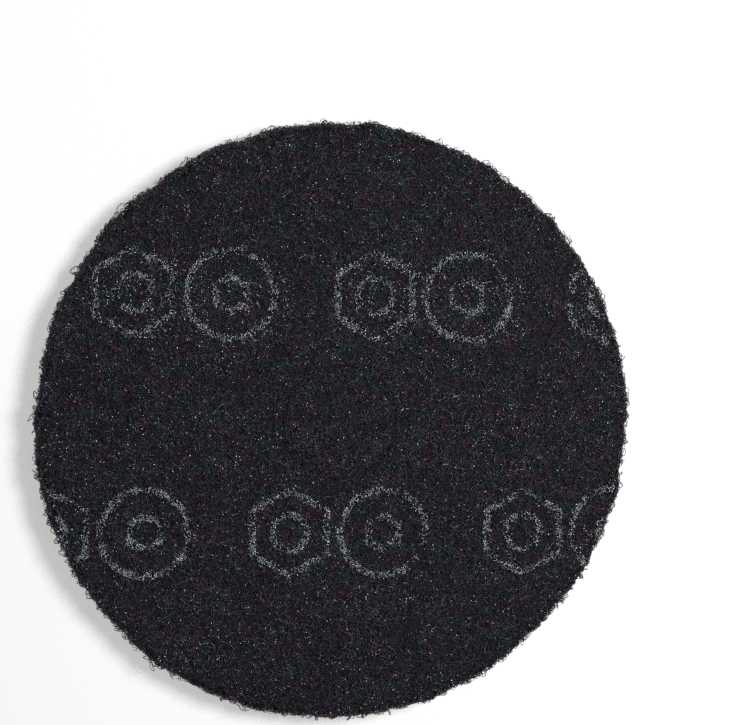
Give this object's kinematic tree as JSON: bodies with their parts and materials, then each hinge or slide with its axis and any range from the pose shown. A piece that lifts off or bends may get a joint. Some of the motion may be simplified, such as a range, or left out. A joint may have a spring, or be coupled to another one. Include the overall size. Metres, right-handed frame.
{
  "type": "floor polishing pad",
  "caption": "Thick round floor-machine pad of curled, resin-bonded black fibre web with a knock-out centre plug and printed outline marks on its working face.",
  "frame": {"origin": "centre of the back face, on the pad's axis", "axes": "+Z through the thickness, from the back face to the marked working face; +Y across the pad towards the upper row of marks, and +X along the rows, to the right as they are seen"},
  "size_m": [0.432, 0.432, 0.0254],
  "materials": {
    "fibre_web": "open web of curled fibres, resin-coated, with fine glinting mineral grit",
    "pale_print": "broken flecks of pale blue-grey resin on the upper fibres"
  },
  "bodies": {
    "pad": {"pad_ring": "fibre_web", "face_marks": "pale_print"},
    "plug": {"centre_plug": "fibre_web"}
  },
  "joints": [
    {"name": "plug_push_out", "type": "slide", "parent": "pad", "child": "plug", "axis": [0, 0, 1], "range_m": [0, 0.06]}
  ]
}
